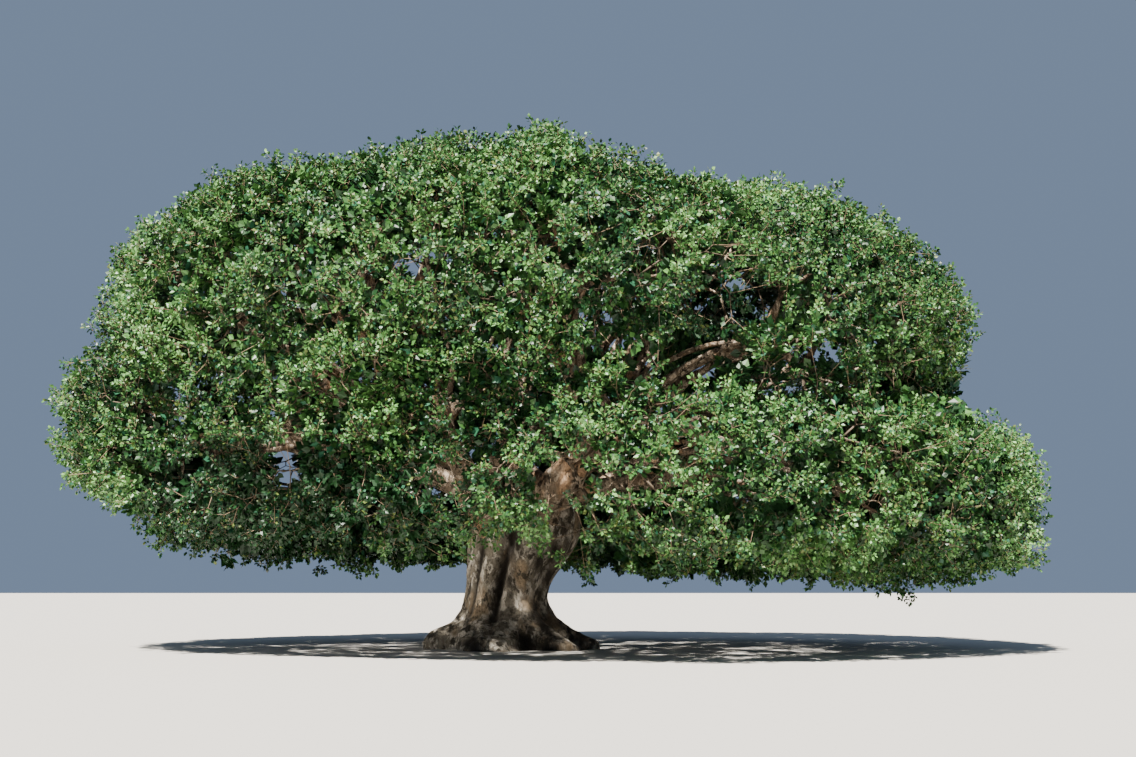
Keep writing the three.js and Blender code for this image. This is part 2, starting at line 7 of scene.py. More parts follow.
import bpy
import numpy as np
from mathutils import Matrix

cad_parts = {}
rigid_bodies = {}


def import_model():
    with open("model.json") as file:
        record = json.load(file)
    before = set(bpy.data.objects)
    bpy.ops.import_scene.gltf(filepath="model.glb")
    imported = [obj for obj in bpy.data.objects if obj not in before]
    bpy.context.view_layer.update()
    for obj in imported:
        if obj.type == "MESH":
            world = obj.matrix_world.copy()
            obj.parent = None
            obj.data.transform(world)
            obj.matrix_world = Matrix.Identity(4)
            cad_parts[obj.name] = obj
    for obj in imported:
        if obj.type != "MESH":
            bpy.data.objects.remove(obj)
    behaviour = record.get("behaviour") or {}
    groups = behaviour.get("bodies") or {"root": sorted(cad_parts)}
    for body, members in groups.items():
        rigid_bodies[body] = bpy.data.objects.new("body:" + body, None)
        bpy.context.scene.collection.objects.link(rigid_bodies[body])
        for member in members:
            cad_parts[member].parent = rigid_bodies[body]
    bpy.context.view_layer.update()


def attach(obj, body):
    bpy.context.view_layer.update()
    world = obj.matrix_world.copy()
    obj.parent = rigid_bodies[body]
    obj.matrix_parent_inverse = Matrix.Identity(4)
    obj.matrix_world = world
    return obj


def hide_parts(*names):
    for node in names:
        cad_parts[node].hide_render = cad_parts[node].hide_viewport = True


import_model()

scene = bpy.context.scene


# Camera, light and floor. The camera stands where the photograph was taken from, 2 m above the ground. A
# high sun in front on the left and a pale blue sky light the tree over a plain floor, and a narrow low lamp
# on the left reaches the trunk under the crown.
camera = bpy.data.cameras.new("camera")
camera.sensor_width = 36.0
camera.lens = 47.5
camera.clip_end = 3000.0
camera_object = bpy.data.objects.new("camera", camera)
camera_object.location = (1.84, -52.6, 2.0)
camera_object.rotation_euler = (math.radians(98.03), 0, 0)
scene.collection.objects.link(camera_object)
scene.camera = camera_object

sun = bpy.data.lights.new("sun", "SUN")
sun.energy = 19.5
sun.color = (1.0, 0.96, 0.89)
sun.angle = math.radians(1.0)
sun_object = bpy.data.objects.new("sun", sun)
sun_object.rotation_euler = (math.radians(33), math.radians(-16), 0)
scene.collection.objects.link(sun_object)

low_light = bpy.data.lights.new("low light", "SPOT")
low_light.energy = 30000
low_light.color = (1.0, 0.95, 0.86)
low_light.shadow_soft_size = 1.5
low_light.spot_size = math.radians(8)
low_light.spot_blend = 0.5
low_light_object = bpy.data.objects.new("low light", low_light)
low_light_object.location = (-29.0, -12.0, 0.9)
low_light_object.rotation_euler = (math.radians(91.2), 0, math.radians(-67.5))
scene.collection.objects.link(low_light_object)

sky = bpy.data.worlds.new("sky")
sky.use_nodes = True
sky_glow = sky.node_tree.nodes["Background"]
sky_glow.inputs["Color"].default_value = (0.50, 0.68, 1.0, 1)
sky_glow.inputs["Strength"].default_value = 0.36
scene.world = sky


def plain_paint(name, colour, roughness):
    """A material of one colour and one roughness, and its shader."""
    paint = bpy.data.materials.new(name)
    paint.use_nodes = True
    shader = paint.node_tree.nodes["Principled BSDF"]
    shader.inputs["Base Color"].default_value = (*colour, 1)
    shader.inputs["Roughness"].default_value = roughness
    return paint, shader


FLOOR_HALF = 900.0
floor_mesh = bpy.data.meshes.new("floor")
corners = [(FLOOR_HALF * x, FLOOR_HALF * y, 0) for x, y in ((-1, -1), (1, -1), (1, 1), (-1, 1))]
floor_mesh.from_pydata(corners, [], [(0, 1, 2, 3)])
floor = bpy.data.objects.new("floor", floor_mesh)
scene.collection.objects.link(floor)
floor_mesh.materials.append(plain_paint("pale floor", (0.50, 0.475, 0.435), 0.9)[0])


# The rooms of the crown. The source parts the crown into masses, tier by tier: a skirt of ten, eight
# round the waist of the dome, six above and one at the top. The same rule is written again here.
def chance(seed):
    """A fixed number from 0 to 1 for each seed: what is left of a large sine past its whole part."""
    wave = np.sin(np.asarray(seed, float) * 12.9898) * 43758.5453
    return wave - np.floor(wave)


def uneven(seed, spread):
    """A fixed number between minus and plus the spread for each seed."""
    return spread * (2 * chance(seed) - 1)


def smooth_step(low, high, value):
    """0 below low and 1 above high, with a cubic ease between."""
    share = np.clip((value - low) / (high - low), 0, 1)
    return share * share * (3 - 2 * share)


def unit(vectors):
    """The same directions, each of length one."""
    return vectors / np.maximum(np.linalg.norm(vectors, axis=-1, keepdims=True), 1e-9)


def plan_reach(azimuth, right, left, depth):
    """Reach of an oval plan: one over the hypotenuse of cosine by reach across and sine by depth."""
    across = np.where(np.cos(azimuth) > 0, right, left)
    return 1 / np.hypot(np.cos(azimuth) / across, np.sin(azimuth) / depth)


WAIST = 10.3


def dome_top(x, share):
    """Height of the dome: its waist and a superellipse above it, lower on the right than the left."""
    rise = 6.85 - 0.8 * smooth_step(1.5, 7.5, x)
    return WAIST + rise * (1 - share**2.7) ** (1 / 2.7)


HALF_DEPTH = 4.2
DOME_PLAN = (15.9, 14.9, 14.3)
MID_FOOT, TOP_FOOT = 6.7, 12.4
low = np.arange(10)
low_turn = np.where(low % 5 == 0, 0, uneven(low + 0.5, 0.1) - 0.22)
low_azimuth = 2 * np.pi * (low + low_turn) / 10
low_radius = plan_reach(low_azimuth, 18.8, 16.4, 14.5) - HALF_DEPTH
low_lift = 2.6 * np.maximum(0, -np.cos(low_azimuth)) ** 4 + 0.5 * np.abs(np.sin(low_azimuth))
low_height = 5.15 + low_lift + uneven(low + 40.5, 0.26)
low_half = np.stack([np.full(10, HALF_DEPTH), 0.46 * low_radius, np.full(10, 3.35)], 1)

mid = np.arange(8)
mid_azimuth = 2 * np.pi * (mid + 0.32 + uneven(mid + 20.5, 0.1)) / 8
mid_reach = plan_reach(mid_azimuth, *DOME_PLAN)
mid_radius = mid_reach - HALF_DEPTH
mid_top = dome_top(mid_radius * np.cos(mid_azimuth), mid_radius / mid_reach)
mid_half = np.stack([np.full(8, HALF_DEPTH), 0.56 * mid_radius, (mid_top - MID_FOOT) / 2], 1)

high = np.arange(6)
high_azimuth = 2 * np.pi * (high + 0.87) / 6
high_radius = np.full(6, 6.0)
high_reach = plan_reach(high_azimuth, *DOME_PLAN)
high_top = dome_top(high_radius * np.cos(high_azimuth), high_radius / high_reach)
high_half = np.stack([np.full(6, HALF_DEPTH), 0.8 * high_radius, (high_top - WAIST) / 2], 1)

top_height = dome_top(0.0, 0.0)
azimuth = np.concatenate([low_azimuth, mid_azimuth, high_azimuth, [1.1]])
radius = np.concatenate([low_radius, mid_radius, high_radius, [0.7]])
middles = [(mid_top + MID_FOOT) / 2, (high_top + WAIST) / 2, [(top_height + TOP_FOOT) / 2]]
height = np.concatenate([low_height, *middles])
half = np.concatenate([low_half, mid_half, high_half, [[3.6, 3.6, (top_height - TOP_FOOT) / 2]]])
labels = [f"low_{i + 1:02d}" for i in low] + [f"mid_{i + 1:02d}" for i in mid]
labels += [f"high_{i + 1:02d}" for i in high] + ["top_01"]
MASSES = len(labels)
flat = np.zeros(MASSES)
outward = np.stack([np.cos(azimuth), np.sin(azimuth), flat], 1)
sideways = np.stack([-np.sin(azimuth), np.cos(azimuth), flat], 1)
centre = outward * radius[:, None] + np.stack([flat, flat, height], 1)


def free_reach(mass, way):
    """Reach of a mass along a way: a superellipsoid of exponent 2.9 on its three half sizes."""
    parts = [
        (way * outward[mass]).sum(-1) / half[mass, 0],
        (way * sideways[mass]).sum(-1) / half[mass, 1],
        way[..., 2] / half[mass, 2],
    ]
    return sum(np.abs(part) ** 2.9 for part in parts) ** (-1 / 2.9)


# Two neighbours share the room between their centres in proportion to their own reaches.
one, other = np.meshgrid(np.arange(MASSES), np.arange(MASSES), indexing="ij")
towards = centre[other] - centre[one]
apart = np.linalg.norm(towards, axis=-1)
towards = unit(towards)
mine, theirs = free_reach(one, towards + 1e-12), free_reach(other, -towards + 1e-12)
wall = np.where(one == other, np.inf, apart * mine / (mine + theirs) - 0.08)


def walled_reach(mass, way):
    """Distance along a way to the nearest flat wall that a neighbour puts up."""
    facing = np.einsum("...k,...ok->...o", way, towards[mass])
    return np.where(facing > 1e-6, wall[mass] / np.maximum(facing, 1e-6), np.inf).min(-1)


UP = np.array([0, 0, 1.0])


def open_entry(mass, wanted):
    """The side on which a bough enters: inward, at the open tilt that is nearest to the wanted one."""
    turns = [sign * 8 * step for step in range(7) for sign in (1, -1)]
    angles = np.radians(wanted + np.array(turns))
    ways = -np.cos(angles)[:, None] * outward[mass] + np.sin(angles)[:, None] * UP
    place = np.full(len(ways), mass)
    is_open = walled_reach(place, ways) > 1.12 * free_reach(place, ways)
    return ways[np.argmax(is_open)]


tilts = [20] * 10 + [-15] * 8 + [-65] * 6 + [-90]
entry = np.stack([open_entry(mass, tilt) for mass, tilt in enumerate(tilts)])
every = np.arange(MASSES)
entry_point = centre + entry * (0.98 * free_reach(every, entry))[:, None]


# Trunk. A living column of grey-brown wood, 2.8 m across its waist, under thin smooth bark that flakes in
# pale patches. It is fluted, parted by a deep groove, and spreads at its foot into thick knobbly roots.
def trunk_centre(z):
    """The trunk's axis: a sine that sways left at the waist and right at the fork."""
    return np.stack([-0.31 * np.sin(np.pi * z / 2.9), 0 * z, z], -1)


GROOVE_ANGLE = math.radians(-102)


def from_groove(angle):
    """The turn from the groove to an angle, within half a circle either way."""
    return np.arctan2(np.sin(angle - GROOVE_ANGLE), np.cos(angle - GROOVE_ANGLE))


def trunk_radius(angle, z):
    """A waist, a root flare below and a swelling above, times flutes, less the groove between columns."""
    flare = np.exp(-((z / 0.9) ** 2))
    girth = 1.4 + 1.23 * flare + 0.44 * smooth_step(1.9, 4.0, z)
    twisted = angle + 0.22 * np.sin(2 * angle + 0.6) + 0.12 * z
    flutes = (0.05 + 0.13 * flare) * np.cos(7 * twisted + 0.8) + 0.03 * np.cos(3 * angle - 1.1)
    rise = smooth_step(0.3, 1.9, z)
    cut = rise * (0.3 + 0.13 * rise)
    return girth * (1 + flutes) - cut * np.exp(-((from_groove(angle) / 0.15) ** 2))


def lumps(points, size, seed):
    """Smooth noise from -1 to 1: fixed numbers at the corners of cubes of that size, blended between."""
    place = points / size + seed * 7.31
    cell = np.floor(place)
    share = place - cell
    share = share * share * (3 - 2 * share)
    total = 0.0
    for corner in np.ndindex(2, 2, 2):
        weight = np.prod(np.where(corner, share, 1 - share), axis=-1)
        total = total + weight * chance((cell + corner) @ np.array([1.0, 57.0, 131.0]) + seed)
    return 2 * total - 1


def mesh_piece(name, points, quads, triangles, materials, paint=None, smooth=True):
    """A mesh object from arrays of points, four-sided and three-sided faces, and a slot for each face."""
    points, quads, triangles = (np.asarray(a) for a in (points, quads, triangles))
    quads, triangles = quads.reshape(-1, 4).astype(np.int32), triangles.reshape(-1, 3).astype(np.int32)
    mesh = bpy.data.meshes.new(name)
    mesh.vertices.add(len(points))
    mesh.vertices.foreach_set("co", points.astype(np.float32).ravel())
    corners = np.concatenate([quads.ravel(), triangles.ravel()])
    sizes = np.concatenate([np.full(len(quads), 4), np.full(len(triangles), 3)])
    mesh.loops.add(len(corners))
    mesh.loops.foreach_set("vertex_index", corners)
    mesh.polygons.add(len(sizes))
    starts = np.concatenate([[0], np.cumsum(sizes)[:-1]]).astype(np.int32)
    mesh.polygons.foreach_set("loop_start", starts)
    if paint is not None:
        mesh.polygons.foreach_set("material_index", np.asarray(paint, np.int32))
    for material in materials:
        mesh.materials.append(material)
    mesh.update(calc_edges=True)
    if smooth:
        mesh.shade_smooth()
    else:
        mesh.shade_flat()
    piece = bpy.data.objects.new(name, mesh)
    scene.collection.objects.link(piece)
    return piece


def ring_faces(rings, sides, start=0):
    """Quads that join each ring of a tube to the next, and the fans that close its two ends."""
    ring, side = np.meshgrid(np.arange(rings - 1), np.arange(sides), indexing="ij")
    a = start + ring * sides + side
    b = start + ring * sides + (side + 1) % sides
    quads = np.stack([a, b, b + sides, a + sides], -1).reshape(-1, 4)
    step = np.arange(1, sides - 1)
    last = start + (rings - 1) * sides
    foot = np.stack([start + 0 * step, start + step + 1, start + step], -1)
    head = np.stack([last + 0 * step, last + step, last + step + 1], -1)
    return quads, np.concatenate([foot, head])


# Bark finish, shared by the trunk and the boughs: grey-brown with pale flaked patches, which are real flaking
# bark and also painted sun dapples, and darker, rougher hollows on the trunk, whose darkness is painted
# shade. The same nodes serve both, each with its own scale and colours.
def bark_nodes():
    """A shader group that puts out mottled colour, roughness and height from Object coordinates."""
    group = bpy.data.node_groups.new("mottled bark", "ShaderNodeTree")
    face = group.interface
    for label, kind, value in (
        ("Scale", "NodeSocketFloat", 1.0),
        ("Pale", "NodeSocketColor", (0.5, 0.5, 0.5, 1)),
        ("Middle", "NodeSocketColor", (0.3, 0.3, 0.3, 1)),
        ("Dark", "NodeSocketColor", (0.1, 0.1, 0.1, 1)),
        ("Warm", "NodeSocketColor", (0.3, 0.2, 0.1, 1)),
    ):
        face.new_socket(label, in_out="INPUT", socket_type=kind).default_value = value
    face.new_socket("Color", in_out="OUTPUT", socket_type="NodeSocketColor")
    face.new_socket("Roughness", in_out="OUTPUT", socket_type="NodeSocketFloat")
    face.new_socket("Height", in_out="OUTPUT", socket_type="NodeSocketFloat")
    nodes, links = group.nodes, group.links
    given, out = nodes.new("NodeGroupInput"), nodes.new("NodeGroupOutput")
    place = nodes.new("ShaderNodeTexCoord")
    stretched = nodes.new("ShaderNodeMapping")
    stretched.inputs["Scale"].default_value = (1, 1, 0.55)
    links.new(place.outputs["Object"], stretched.inputs["Vector"])

    def noise(size, detail, rough, low, high):
        """Noise of one size, eased from 0 at low to 1 at high."""
        scale = nodes.new("ShaderNodeMath")
        scale.operation = "MULTIPLY"
        scale.inputs[1].default_value = size
        links.new(given.outputs["Scale"], scale.inputs[0])
        cloud = nodes.new("ShaderNodeTexNoise")
        cloud.inputs["Detail"].default_value = detail
        cloud.inputs["Roughness"].default_value = rough
        links.new(stretched.outputs["Vector"], cloud.inputs["Vector"])
        links.new(scale.outputs[0], cloud.inputs["Scale"])
        ease = nodes.new("ShaderNodeMapRange")
        ease.interpolation_type = "SMOOTHSTEP"
        ease.inputs["From Min"].default_value = low
        ease.inputs["From Max"].default_value = high
        links.new(cloud.outputs["Fac"], ease.inputs["Value"])
        return ease.outputs["Result"]

    def blend(share, first, second):
        """The second colour over the first by that share."""
        mix = nodes.new("ShaderNodeMix")
        mix.data_type = "RGBA"
        links.new(share, mix.inputs["Factor"])
        links.new(first, mix.inputs["A"])
        links.new(second, mix.inputs["B"])
        return mix.outputs["Result"]

    # Pale flakes: real flaking bark, made pale and bright enough to also paint sun dapples.
    flake_and_dapple = noise(3.6, 8.0, 0.68, 0.485, 0.545)
    stains = noise(3.0, 6.0, 0.7, 0.505, 0.59)
    warmth = noise(1.1, 3.0, 0.5, 0.52, 0.66)
    pores = noise(11.0, 6.0, 0.7, 0.35, 0.66)
    skin = blend(flake_and_dapple, given.outputs["Middle"], given.outputs["Pale"])
    skin = blend(warmth, skin, given.outputs["Warm"])
    skin = blend(stains, skin, given.outputs["Dark"])
    fine = nodes.new("ShaderNodeMix")
    fine.data_type = "RGBA"
    fine.blend_type = "MULTIPLY"
    fine.inputs["Factor"].default_value = 0.45
    links.new(skin, fine.inputs["A"])
    links.new(pores, fine.inputs["B"])
    links.new(fine.outputs["Result"], out.inputs["Color"])
    rough = nodes.new("ShaderNodeMapRange")
    rough.inputs["To Min"].default_value = 0.92
    rough.inputs["To Max"].default_value = 0.7
    links.new(flake_and_dapple, rough.inputs["Value"])
    links.new(rough.outputs["Result"], out.inputs["Roughness"])
    relief = nodes.new("ShaderNodeMath")
    relief.operation = "MULTIPLY_ADD"
    relief.inputs[1].default_value = 0.4
    links.new(pores, relief.inputs[0])
    links.new(flake_and_dapple, relief.inputs[2])
    links.new(relief.outputs[0], out.inputs["Height"])
    return group


mottled_bark = bark_nodes()


def bark_material(name, scale, pale, middle, dark, warm):
    """A bark finish: the mottled group feeds colour and roughness, and its height a bump. Where the mesh
    carries a measure of painted shade, the colour darkens by it towards near-black."""
    material = bpy.data.materials.new(name)
    material.use_nodes = True
    nodes, links = material.node_tree.nodes, material.node_tree.links
    shader = nodes["Principled BSDF"]
    skin = nodes.new("ShaderNodeGroup")
    skin.node_tree = mottled_bark
    skin.inputs["Scale"].default_value = scale
    for label, colour in (("Pale", pale), ("Middle", middle), ("Dark", dark), ("Warm", warm)):
        skin.inputs[label].default_value = (*colour, 1)
    bump = nodes.new("ShaderNodeBump")
    bump.inputs["Strength"].default_value = 0.9
    bump.inputs["Distance"].default_value = 0.04
    links.new(skin.outputs["Height"], bump.inputs["Height"])
    links.new(bump.outputs["Normal"], shader.inputs["Normal"])
    # Painted shade: the mesh's shade measure mixes the bark colour towards near-black.
    hollow = nodes.new("ShaderNodeAttribute")
    hollow.attribute_name = "hollow"
    shaded = nodes.new("ShaderNodeMix")
    shaded.data_type = "RGBA"
    shaded.inputs["B"].default_value = (0.03, 0.024, 0.018, 1)
    links.new(hollow.outputs["Fac"], shaded.inputs["Factor"])
    links.new(skin.outputs["Color"], shaded.inputs["A"])
    links.new(shaded.outputs["Result"], shader.inputs["Base Color"])
    links.new(skin.outputs["Roughness"], shader.inputs["Roughness"])
    shader.inputs["Specular IOR Level"].default_value = 0.25
    return material


# The trunk's pale colour is real flaking bark, brightened to also paint sun dapples.
trunk_bark = bark_material(
    "trunk bark", 1.0, (0.74, 0.66, 0.54), (0.29, 0.25, 0.19), (0.075, 0.063, 0.045), (0.38, 0.28, 0.175)
)

# The skin in rings round the axis, closed by a low cap at the fork. The right of the cap rises and leans out
# to meet the limb that leaves there.
TRUNK_SIDES, TRUNK_RINGS, CAP_RINGS = 320, 150, 14
FORK_HEIGHT, CAP_RISE = 4.0, 0.95
ring_height = FORK_HEIGHT * np.linspace(0, 1, TRUNK_RINGS) ** 1.1
cap_turn = np.linspace(0, np.pi / 2, CAP_RINGS + 1)[1:] * 0.98
ring_height = np.concatenate([ring_height, FORK_HEIGHT + CAP_RISE * np.sin(cap_turn)])
ring_share = np.concatenate([np.ones(TRUNK_RINGS), np.cos(cap_turn)])
side_angle = 2 * np.pi * np.arange(TRUNK_SIDES) / TRUNK_SIDES
z, angle = np.meshgrid(ring_height, side_angle, indexing="ij")
spoke = np.stack([np.cos(angle), np.sin(angle), 0 * angle], -1)
girth = trunk_radius(angle, np.minimum(z, FORK_HEIGHT)) * ring_share[:, None]
from_right = np.remainder(angle + np.pi, 2 * np.pi) - 3.0
shoulder = np.sin(2 * np.arccos(ring_share))[:, None] * np.exp(-((from_right / 0.6) ** 2))
skin = trunk_centre(z) + spoke * (girth + 0.25 * shoulder)[..., None]
skin[..., 2] += 0.6 * shoulder

# Its relief: long folds and ribs, a crease left of the groove, and knobbly ridged roots.
stretch = np.array([1, 1, 0.3])
turn = from_groove(angle)
crease = np.exp(-(((turn + 0.58) / 0.1) ** 2)) * smooth_step(0.4, 1.4, z) * smooth_step(4.2, 3.2, z)
rootness = np.exp(-((z / 0.95) ** 2))
wander = lumps(skin * stretch, 0.8, 1)
ridge = 1 - np.abs(np.sin(5.5 * angle + 1.6 * wander))
flutes = np.cos(15 * angle + 2.4 * wander)
relief = 0.05 * wander + 0.045 * lumps(skin * stretch, 0.3, 2) + 0.02 * flutes * (1 - rootness)
relief += (0.022 + 0.1 * rootness) * lumps(skin, 0.33, 3) + (0.012 + 0.04 * rootness) * lumps(skin, 0.15, 4)
relief += rootness * (0.26 * (ridge - 0.35) + 0.16 * lumps(skin, 0.6, 5)) - 0.12 * crease
skin = skin + spoke * relief[..., None]
skin[0, :, 2] = 0.0
quads, triangles = ring_faces(len(ring_height), TRUNK_SIDES)
trunk = mesh_piece("trunk_bark", skin.reshape(-1, 3), quads, triangles, [trunk_bark])

# Painted shade on the skin, which darkens its colour: in the groove, the crease and the dents, over the right
# of the front, and a little over the roots.
groove = np.exp(-((turn / 0.17) ** 2)) * smooth_step(0.2, 1.5, z)
# Painted shade over the right of the front, streaked by lumps.
shade_on_right = smooth_step(-0.3, 0.3, skin[..., 0]) * smooth_step(0.3, -0.6, skin[..., 1])
shade_on_right *= smooth_step(0.2, 1.0, z)
shade_on_right *= (0.3 + 0.45 * smooth_step(0.5, 1.0, skin[..., 0])) * (1 + lumps(skin * stretch, 0.28, 10))
shade_on_right *= smooth_step(4.4, 3.2, z)
hollow = groove + 0.6 * crease - 5.0 * np.minimum(relief, 0) + shade_on_right + 0.22 * rootness
hollow = np.clip(hollow, 0, 1)
trunk.data.attributes.new("hollow", "FLOAT", "POINT").data.foreach_set("value", hollow.ravel())
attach(trunk, "root")
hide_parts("trunk")


# Boughs. Tapering limbs of the same wood: four main ones and a leader fork from the trunk, and the others
# from them, each grown to where it enters a mass. Their skin is smoother and warmer in colour; the warm
# orange is partly the bark's own colour and partly painted sunlight on the limbs.
BOUGH_TIP = 0.24


def cubic(posts, share):
    """The curve between four posts: each weighted by its cubic share."""
    weights = ((1 - share) ** 3, 3 * share * (1 - share) ** 2, 3 * share**2 * (1 - share), share**3)
    return sum(weight * post for weight, post in zip(weights, posts))


class Bough:
    """A cubic curve from its foot to where it enters a mass, measured along its length."""

    def __init__(self, mass, start, leaving, load):
        end = entry_point[mass]
        pull = 0.34 * np.linalg.norm(end - start)
        self.mass = mass
        self.posts = np.stack([start, start + pull * leaving, end + pull * entry[mass], end])
        self.thick = BOUGH_TIP * math.sqrt(load)
        self.children = 0
        t = np.linspace(0, 1, 201)
        steps = np.linalg.norm(np.diff(self.curve(t), axis=0), axis=1)
        self.times, self.run = t, np.concatenate([[0], np.cumsum(steps)])

    def curve(self, t):
        """The point on the cubic curve between the bough's four posts."""
        return cubic(self.posts, np.asarray(t, float)[..., None])

    def at(self, share):
        """The point at a share of the length, read off between the measured steps."""
        return self.curve(np.interp(np.asarray(share) * self.run[-1], self.run, self.times))

    def way(self, share):
        """The direction there: from a point just before it to one just after."""
        return unit(self.at(share + 1e-4) - self.at(share - 1e-4))

    def girth(self, share):
        """The radius there: it falls with the length to the power 0.75, and where side limbs have left."""
        tapered = self.thick + (BOUGH_TIP - self.thick) * share**0.75
        return tapered * (1 - 0.4 * smooth_step(0.35, 0.65, share))


def turned(vector, angle):
    """The vector turned about the upright, by the cosine and sine of the angle."""
    c, s = math.cos(angle), math.sin(angle)
    return np.array([c * vector[0] - s * vector[1], s * vector[0] + c * vector[1], vector[2]])


# The four main boughs lean out round the fork, the leader stands among them, and each other bough leaves the
# main one nearest to its own side, the lower masses' first.
foot = trunk_centre(np.float64(3.25))
mains = []
for index in range(4):
    mass = 10 + (2 * index + 7) % 8
    out = turned(outward[mass], -0.36)
    mains.append(Bough(mass, foot + 0.83 * out, unit(UP + 0.26 * out), 9))
boughs = [*mains, Bough(24, foot, unit(UP - 0.26 * outward[24]), 3)]
served = {bough.mass for bough in boughs}
fork_place = {"low": 0.2, "mid": 0.36, "high": 0.46}
for mass in range(MASSES):
    if mass not in served:
        turn = [abs(math.remainder(azimuth[bough.mass] - azimuth[mass], 2 * math.pi)) for bough in mains]
        parent = mains[int(np.argmin(turn))]
        share = fork_place[labels[mass].split("_")[0]] + 0.035 * parent.children
        parent.children += 1
        start = parent.at(share)
        leaving = unit(0.45 * parent.way(share) + unit(entry_point[mass] - start))
        boughs.append(Bough(mass, start, leaving, 1.8))


def limbs(paths, radii, sides):
    """Round tubes along paths: rings square to the path, each turned as little as can be from the last.
    Gives the points, the spokes they lie on, the quads and the closing triangles."""
    count, rings = paths.shape[:2]
    way = unit(np.gradient(paths, axis=1))
    spoke = np.empty_like(paths)
    rough = np.where(np.abs(way[:, 0, 2:]) < 0.9, UP, [1.0, 0, 0])
    for ring in range(rings):
        ahead = way[:, ring]
        rough = unit(rough - (rough * ahead).sum(-1, keepdims=True) * ahead)
        spoke[:, ring] = rough
    across = np.cross(way, spoke)
    angle = 2 * np.pi * np.arange(sides) / sides
    around = np.cos(angle)[:, None] * spoke[:, :, None] + np.sin(angle)[:, None] * across[:, :, None]
    points = paths[:, :, None] + radii[..., None, None] * around
    quads, triangles = ring_faces(rings, sides)
    first = (np.arange(count) * rings * sides)[:, None, None]
    return points, around, (first + quads).reshape(-1, 4), (first + triangles).reshape(-1, 3)


def bough_skin(group, rings, sides, sunk):
    """Boughs as tubes that swell to their foot, gnarled by lumps as large as the limb is thick. The feet of
    those on the trunk are sunk: drawn in towards its axis and narrowed, so that they grow out of it."""
    share = np.linspace(0, 1, rings)
    paths = np.stack([bough.at(share) for bough in group])
    run = np.stack([share * bough.run[-1] for bough in group])
    radii = np.stack([bough.girth(share) for bough in group])
    sway = np.stack([lumps(paths, 1.9, seed) for seed in (11, 12, 13)], -1)
    paths = paths + 0.3 * radii[..., None] * sway * smooth_step(0.4, 2.5, run)[..., None]
    swollen = radii * (1 + 0.35 * np.exp(-((run / (2.2 * radii[:, :1])) ** 2)))
    sink = sunk * np.exp(-((run / 0.65) ** 2))
    axis = trunk_centre(paths[..., 2])
    paths = axis + (paths - axis) * (1 - 0.55 * sink)[..., None]
    points, around, quads, triangles = limbs(paths, swollen * (1 - 0.5 * sink), sides)
    thick = radii[..., None]
    gnarl = 0.13 * lumps(points, 0.9, 6) + 0.08 * lumps(points, 0.38, 7) + 0.03 * lumps(points, 0.16, 8)
    points = points + around * (thick * gnarl)[..., None]
    return points.reshape(-1, 3), quads, triangles


def joined(parts):
    """Several sets of points, quads and triangles as one, with their faces counted on."""
    points, quads, triangles, first = [], [], [], 0
    for some_points, some_quads, some_triangles in parts:
        points.append(some_points)
        quads.append(some_quads + first)
        triangles.append(some_triangles + first)
        first += len(some_points)
    return np.concatenate(points), np.concatenate(quads), np.concatenate(triangles)


# Bough bark, warm and orange: partly its own colour and partly painted sunlight on the limbs.
bough_bark_painted_sun = bark_material(
    "bough bark with painted sun", 1.2, (0.62, 0.49, 0.36), (0.25, 0.185, 0.125), (0.065, 0.048, 0.032), (0.46, 0.285, 0.16)
)
bough_parts = joined([bough_skin(boughs[:5], 70, 26, 1), bough_skin(boughs[5:], 48, 16, 0)])
bough_piece = mesh_piece("boughs", *bough_parts, [bough_bark_painted_sun])
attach(bough_piece, "root")
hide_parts(*[f"bough_{label}" for label in labels])


# Where the sprays of leaves sit. Each mass carries its tips on a golden-angle lattice, as the source does,
# in layers from the crown's face inwards. Few face the inside of the crown, and gaps and hollows stay open.
# The outline of the crown is read from heights and depths at places across it.
DOME_ACROSS = (-14.3, -13.2, -12.0, -8.2, -5.8, -3.4, 0.2, 1.4, 2.6, 6.2, 9.8, 11.0, 13.4)
DOME_RISE = (9.8, 7.6, 6.9, 6.6, 6.05, 6.15, 6.6, 6.8, 6.3, 5.25, 6.15, 6.1, 5.7)
SKIRT_ACROSS = (-16.0, -13.0, -12.1, -11.3, -6.0, 0.5, 3.0, 6.0, 10.0, 16.0)
SKIRT_FOOT = (4.7, 4.5, 4.1, 3.1, 3.05, 3.15, 2.9, 2.5, 2.4, 2.1)
SKIRT_HEAD = (10.4, 10.3, 10.2, 10.1, 9.2, 8.8, 8.6, 8.4, 8.2, 8.0)
FRONT_ACROSS = (-16.0, -13.0, -10.0, -7.0, -4.6, -1.0, 2.0, 5.0)
FRONT_DEPTH = (14.35, 12.0, 10.6, 11.0, 11.8, 12.8, 13.9, 14.35)


def in_crown(points):
    """True inside the crown's outline: a dome that steepens to its sides, over a skirt with a blunt rim
    that hangs low on the right and high at the far left, and draws back in front on the left."""
    x, y, z = points[..., 0], points[..., 1], points[..., 2]
    turn, far = np.arctan2(y, x), np.hypot(x, y)
    share = far / plan_reach(turn, 16.0, 14.35, 14.3)
    roof = WAIST + np.interp(x, DOME_ACROSS, DOME_RISE) * np.maximum(1 - share**2.14, 0) ** 0.331
    narrowed = 1 - 0.09 * smooth_step(WAIST, 7.0, z)
    in_dome = (z > 6.4) & (z < roof) & (share < narrowed)
    depth = np.where(y < 0, np.interp(x, FRONT_ACROSS, FRONT_DEPTH), 14.35)
    share = far / plan_reach(turn, 18.3, 15.85, depth)
    foot, head = np.interp(x, SKIRT_ACROSS, SKIRT_FOOT), np.interp(x, SKIRT_ACROSS, SKIRT_HEAD)
    level = (2 * z - foot - head) / (head - foot)
    return in_dome | (share**8 + np.abs(level) ** 4 < 1)


